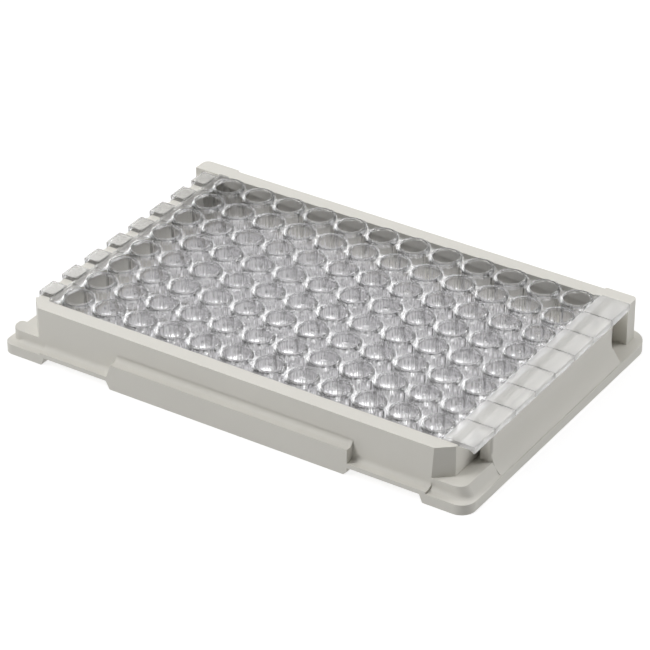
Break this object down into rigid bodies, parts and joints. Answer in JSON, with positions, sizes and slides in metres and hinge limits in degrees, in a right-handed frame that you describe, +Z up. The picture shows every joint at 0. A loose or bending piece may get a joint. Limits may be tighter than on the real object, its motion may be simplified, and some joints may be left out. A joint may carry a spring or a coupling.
{
  "type": "strip plate for 96 wells",
  "caption": "Open white frame to the standard microplate footprint that holds a set of removable clear strips of small flat-bottomed wells side by side.",
  "frame": {"origin": "centre of the footprint, on the surface that the plate stands on", "axes": "+Z up, out of the wells; +X along the long side from column 1 to column 12; +Y along the short side from row H to row A, so the finger grip faces -Y"},
  "size_m": [0.1278, 0.0854, 0.0142],
  "materials": {
    "white_frame": "moulded, fine satin",
    "clear_strip": "clear moulded polystyrene, polished"
  },
  "bodies": {
    "root": {"frame": "white_frame", "strip_a": "clear_strip", "strip_b": "clear_strip", "strip_c": "clear_strip", "strip_d": "clear_strip", "strip_e": "clear_strip", "strip_f": "clear_strip", "strip_g": "clear_strip", "strip_h": "clear_strip"}
  },
  "joints": []
}
